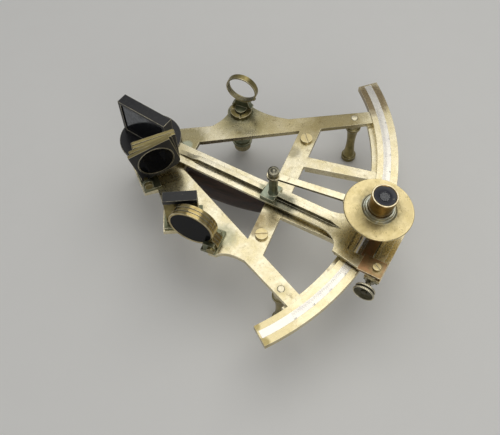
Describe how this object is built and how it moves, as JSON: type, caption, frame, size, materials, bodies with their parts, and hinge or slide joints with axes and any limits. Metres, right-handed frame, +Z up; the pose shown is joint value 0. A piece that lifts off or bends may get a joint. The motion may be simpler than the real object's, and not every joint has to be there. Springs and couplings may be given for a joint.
{
  "type": "sextant",
  "caption": "Marine sextant on three legs: ladder-pattern frame, index arm with vernier and magnifier, two mirrors, swinging shades and a rising telescope ring.",
  "frame": {"origin": "middle of the footprint, on the table that the three legs stand on", "axes": "+Z up out of the frame's face, +Y from the limb towards the index axis, +X towards the telescope"},
  "size_m": [0.2652, 0.248, 0.104],
  "materials": {
    "brass": "old lacquered brass, pale gold with dark pits",
    "dark_brass": "darkened brass with a greenish grey bloom",
    "copper_brass": "brass with a copper tone",
    "blackened": "old black lacquer on brass, worn at the edges",
    "silver": "inlaid silver, tarnished",
    "mirror": "silvered glass, aged",
    "shade_glass": "dark tinted glass",
    "lens": "clear lens",
    "ebony": "turned ebony"
  },
  "bodies": {
    "frame": {"frame": "brass", "arc_limb": "brass", "silver_scale": "silver", "legs": "brass", "grip": "ebony", "grip_bracket": "dark_brass", "bracket_screws": "brass", "horizon_base": "dark_brass", "horizon_mirror_frame": "brass", "horizon_cap": "blackened", "horizon_mirror_glass": "mirror", "horizon_screws": "brass", "index_shade_bracket": "dark_brass", "index_shade_pin": "brass", "horizon_shade_bracket": "dark_brass", "horizon_shade_pin": "brass", "telescope_socket": "dark_brass", "socket_nut": "brass"},
    "index_arm": {"index_axis": "dark_brass", "axis_nut": "brass", "index_arm": "brass", "head_plate": "blackened", "vernier_scale": "silver", "index_mirror_frame": "blackened", "index_mirror_glass": "mirror", "index_mirror_screws": "brass", "outer_rail": "brass", "tangent_bearing": "dark_brass", "bearing_cap": "copper_brass", "cap_screw": "brass", "magnifier_post": "dark_brass", "post_knob": "brass"},
    "clamp": {"clamp_block": "dark_brass"},
    "clamp_screw": {"clamp_screw": "brass"},
    "tangent_screw": {"tangent_screw": "brass"},
    "magnifier": {"magnifier_arm": "brass", "magnifier_disc": "brass"},
    "magnifier_tube": {"magnifier_tube": "brass", "eyepiece_cap": "blackened", "magnifier_lens": "lens"},
    "telescope_ring": {"telescope_stem": "dark_brass", "telescope_collar": "brass", "collar_screws": "brass"},
    "milled_nut": {"milled_nut": "brass"},
    "index_shade_1": {"index_shade_1": "blackened", "index_glass_1": "shade_glass"},
    "index_shade_2": {"index_shade_2": "blackened", "index_glass_2": "shade_glass"},
    "index_shade_3": {"index_shade_3": "blackened", "index_glass_3": "shade_glass"},
    "index_shade_4": {"index_shade_4": "blackened", "index_glass_4": "shade_glass"},
    "horizon_shade_1": {"horizon_shade_1": "brass", "horizon_glass_1": "shade_glass"},
    "horizon_shade_2": {"horizon_shade_2": "brass", "horizon_glass_2": "shade_glass"},
    "horizon_shade_3": {"horizon_shade_3": "brass", "horizon_glass_3": "shade_glass"}
  },
  "joints": [
    {"name": "index_travel", "type": "hinge", "parent": "frame", "child": "index_arm", "pos_m": [0, 0.0968, 0.054], "axis": [0, 0, 1], "range_deg": [-22, 37]},
    {"name": "tangent_fine", "type": "hinge", "parent": "index_arm", "child": "clamp", "pos_m": [0, 0.0968, 0.054], "axis": [0, 0, 1], "range_deg": [-1.5, 1.5]},
    {"name": "tangent_turn", "type": "hinge", "parent": "index_arm", "child": "tangent_screw", "pos_m": [-0.06091, -0.10738, 0.051], "axis": [0.991, -0.134, 0], "range_deg": [-3960, 3960]},
    {"name": "clamp_turn", "type": "hinge", "parent": "clamp", "child": "clamp_screw", "pos_m": [-0.02277, -0.10144, 0.04], "axis": [0, 0, 1], "range_deg": [0, 180]},
    {"name": "magnifier_swing", "type": "hinge", "parent": "index_arm", "child": "magnifier", "pos_m": [-0.01534, -0.01667, 0.083], "axis": [0, 0, 1], "range_deg": [-20, 15]},
    {"name": "magnifier_focus", "type": "slide", "parent": "magnifier", "child": "magnifier_tube", "axis": [-0.0152, -0.1122, 0.9936], "range_m": [-0.003, 0.006]},
    {"name": "telescope_rise", "type": "slide", "parent": "frame", "child": "telescope_ring", "axis": [0, 0, 1], "range_m": [-0.001, 0.007]},
    {"name": "nut_turn", "type": "hinge", "parent": "frame", "child": "milled_nut", "pos_m": [0.0586, 0.042, 0.014], "axis": [0, 0, 1], "range_deg": [-1260, 180]},
    {"name": "index_shade_1_swing", "type": "hinge", "parent": "frame", "child": "index_shade_1", "pos_m": [-0.03219, 0.09001, 0.063], "axis": [-0.7009, -0.7133, 0], "range_deg": [0, 90]},
    {"name": "index_shade_2_swing", "type": "hinge", "parent": "frame", "child": "index_shade_2", "pos_m": [-0.03464, 0.08752, 0.063], "axis": [-0.7009, -0.7133, 0], "range_deg": [-1, 89]},
    {"name": "index_shade_3_swing", "type": "hinge", "parent": "frame", "child": "index_shade_3", "pos_m": [-0.03709, 0.08502, 0.063], "axis": [-0.7009, -0.7133, 0], "range_deg": [-8, 82]},
    {"name": "index_shade_4_swing", "type": "hinge", "parent": "frame", "child": "index_shade_4", "pos_m": [-0.03955, 0.08252, 0.063], "axis": [-0.7009, -0.7133, 0], "range_deg": [-12, 78]},
    {"name": "horizon_shade_1_swing", "type": "hinge", "parent": "frame", "child": "horizon_shade_1", "pos_m": [-0.07405, 0.0078, 0.0606], "axis": [1, 0, 0], "range_deg": [0, 75]},
    {"name": "horizon_shade_2_swing", "type": "hinge", "parent": "frame", "child": "horizon_shade_2", "pos_m": [-0.07085, 0.0078, 0.0606], "axis": [1, 0, 0], "range_deg": [0, 75]},
    {"name": "horizon_shade_3_swing", "type": "hinge", "parent": "frame", "child": "horizon_shade_3", "pos_m": [-0.06765, 0.0078, 0.0606], "axis": [1, 0, 0], "range_deg": [0, 75]}
  ],
  "couplings": [
    {"joint": "nut_turn", "follows": "telescope_rise", "rad_per_m": -3141.5},
    {"joint": "tangent_fine", "follows": "tangent_turn", "ratio": -0.00037804}
  ]
}
